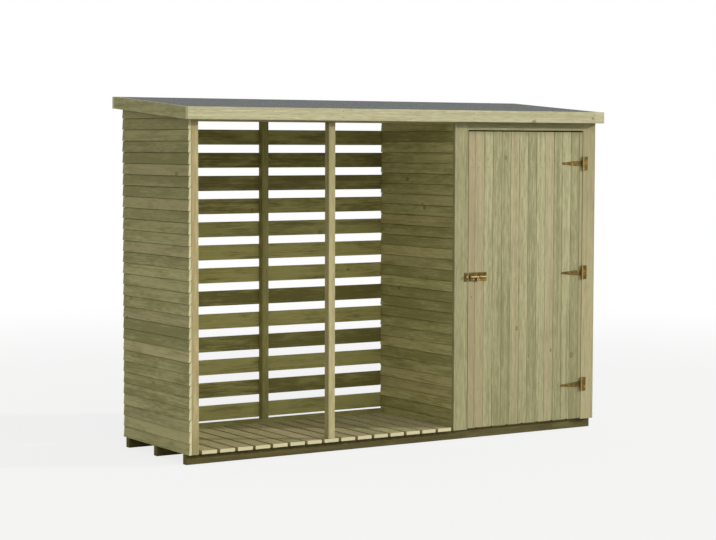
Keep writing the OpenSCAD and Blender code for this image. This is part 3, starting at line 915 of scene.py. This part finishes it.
def lapNails(node):
    # one nail in every board over each post, square to the sloping face
    wall = wallPlace(node)
    slope = lapped["step"] / lapped["rise"]
    facing = Vector((0, 0, slope))
    facing[wall["across"]] = wall["side"]
    out = wall["thick"] - slope * nailing["lapUp"]
    places = [middleOver(node, post, wall["run"]) for post in nailing["posts"][node]]
    spots = []
    for i in range(int((cadHigh.z - wall["foot"]) / lapped["rise"])):
        z = wall["foot"] + i * lapped["rise"] + nailing["lapUp"]
        for at in places:
            depth = at if wall["run"] else wall["posts"]
            if z > roofHeight(depth, frameDown) - nailing["lapClear"]:
                continue
            spot = Vector((0, 0, z))
            spot[wall["run"]] = at + nudge()
            spot[wall["across"]] = wall["posts"] + wall["side"] * out
            spots.append((spot, facing))
    return spots


def slatNails(node):
    low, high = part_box(node)
    width, pitch = nailing["slatWidth"], nailing["slatPitch"]
    places = [middleOver(node, post, 0) for post in nailing["posts"][node]]
    spots = []
    for i in range(round((high.z - low.z - width) / pitch) + 1):
        z = low.z + i * pitch + width / 2
        for x in places:
            for up in nailing["slatPair"]:
                spots.append(((x + nudge(), high.y, z + up + nudge()), (0, 1, 0)))
    return spots


def floorNails():
    spots = []
    width = nailing["floorWidth"]
    for node, count in nailing["floors"].items():
        low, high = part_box(node)
        pitch = (high.x - low.x - width) / (count - 1)
        rows = [middleOver(node, bearer, 1) for bearer in nailing["bearers"]]
        for i in range(count):
            x = low.x + i * pitch + width / 2
            for y in rows:
                for aside in nailing["floorPair"]:
                    spots.append(((x + aside + nudge(), y + nudge() / 2, high.z), (0, 0, 1)))
    return spots


def trimNails():
    spots = []
    for face, edge in ((cadLow.y, roof["front"]), (cadHigh.y, roof["rear"])):
        for i in range(nailing["fasciaPairs"]):
            x = nailing["fasciaReach"] * (2 * i / (nailing["fasciaPairs"] - 1) - 1)
            for down in nailing["trimDown"]:
                spots.append(((x + nudge(), face, roofHeight(edge, down) + nudge() / 2), (0, face, 0)))
    for face in (cadLow.x, cadHigh.x):
        for y in nailing["bargePlaces"]:
            for down in nailing["trimDown"]:
                spots.append(((face, y + nudge(), roofHeight(y, down)), (face, 0, 0)))
    return spots


def feltNails():
    # broad clout heads round the edge of the felt
    spots = []
    edge = nailing["feltEdge"]
    width, depth = roof["right"] - roof["left"], roof["rear"] - roof["front"]
    alongX = int(width / nailing["feltStep"])
    for y in (roof["front"] + edge, roof["rear"] - edge):
        for i in range(alongX + 1):
            x = roof["left"] + edge + i * (width - 2 * edge) / alongX
            spots.append(((x + nudge(), y, roofHeight(y)), roofNormal))
    alongY = int(depth / nailing["feltStep"])
    for x in (roof["left"] + edge, roof["right"] - edge):
        for i in range(1, alongY):
            y = roof["front"] + i * depth / alongY + nudge()
            spots.append(((x, y, roofHeight(y)), roofNormal))
    return spots


def doorNails():
    # two nails in every board at each ledge, clear of the bolt
    spots = []
    for low, high in zip(doorEdges, doorEdges[1:]):
        x = (low + high) / 2
        for z in ledgeHeights:
            if z == ledgeHeights[1] and x < latchHigh.x + nailing["boltClear"]:
                continue
            for up in nailing["doorPair"]:
                spots.append(((x + nudge(), doorLow.y, z + up + nudge() / 2), (0, -1, 0)))
    return spots


for node in lapped["walls"]:
    addNails(node.replace("cladding", "nails"), "store", lapNails(node))
addNails("rear_slat_nails", "store", slatNails("bay_rear_slats"))
addNails("floor_nails", "store", floorNails())
addNails("roof_trim_nails", "store", trimNails())
addNails("door_nails", "door", doorNails())
addNails("felt_nails", "store", feltNails(), nailing["feltSize"])
print("nails made")


# pale floor and soft studio light; the floor glows to the camera, and is pure white past the fade
studio = {
    "floorSize": 60.0, "floorSides": 64, "floorColour": (202, 202, 198),
    "floorGlow": 0.8, "floorFade": (3.0, 9.0), "ambient": 0.48,
    "lamps": {
        "key": {"azimuth": 61.0, "elevation": 18.4, "strength": 2.66, "angle": 2.2},
        "fill": {"azimuth": -8.0, "elevation": 36.0, "strength": 0.75, "angle": 50.0},
    },
}


def showsBackground(start):  # 1 for what the camera sees, straight, mirrored or through glass
    straight, mirrored, through = [
        start.node("ShaderNodeLightPath", out="Is " + ray + " Ray")
        for ray in ("Camera", "Glossy", "Transmission")
    ]
    return straight.most(mirrored).most(through)


def layFloor(spec):
    bm = bmesh.new()
    bmesh.ops.create_circle(bm, cap_ends=True, segments=spec["floorSides"], radius=spec["floorSize"])
    mesh = bpy.data.meshes.new("floor")
    bm.to_mesh(mesh)
    bm.free()
    floor = bpy.data.objects.new("floor", mesh)
    bpy.context.scene.collection.objects.link(floor)
    material, start = blankMaterial("paleFloor")
    far = start.node("ShaderNodeTexCoord", out="Object").length().step(*spec["floorFade"])
    share = showsBackground(start) * (spec["floorGlow"] + (1.0 - spec["floorGlow"]) * far)
    matt = start.node("ShaderNodeBsdfDiffuse", None, {"Color": paint(*spec["floorColour"])})
    glow = start.node("ShaderNodeEmission", None, {"Color": white, "Strength": 1.0})
    shader = start.node("ShaderNodeMixShader", None, {0: share, 1: matt, 2: glow})
    start.node("ShaderNodeOutputMaterial", None, {0: shader})
    mesh.materials.append(material)


def lightStudio(spec):
    world = bpy.data.worlds.new("studio")
    world.use_nodes = True
    world.node_tree.nodes.clear()
    start = Wire(world.node_tree)
    soft = start.node("ShaderNodeBackground", None, {"Color": white, "Strength": spec["ambient"]})
    plain = start.node("ShaderNodeBackground", None, {"Color": white, "Strength": 1.0})
    mixed = start.node("ShaderNodeMixShader", None, {0: showsBackground(start), 1: soft, 2: plain})
    start.node("ShaderNodeOutputWorld", None, {0: mixed})
    bpy.context.scene.world = world
    for name, lamp in spec["lamps"].items():
        light = bpy.data.lights.new(name, "SUN")
        light.energy = lamp["strength"]
        light.angle = radians(lamp["angle"])
        source = bpy.data.objects.new(name, light)
        azimuth, elevation = radians(lamp["azimuth"]), radians(lamp["elevation"])
        toward = Vector((sin(azimuth) * cos(elevation), -cos(azimuth) * cos(elevation), sin(elevation)))
        source.rotation_euler = toward.to_track_quat("Z", "Y").to_euler()
        bpy.context.scene.collection.objects.link(source)


layFloor(studio)
lightStudio(studio)
bpy.context.scene.view_settings.view_transform = "Standard"
print("studio lit")
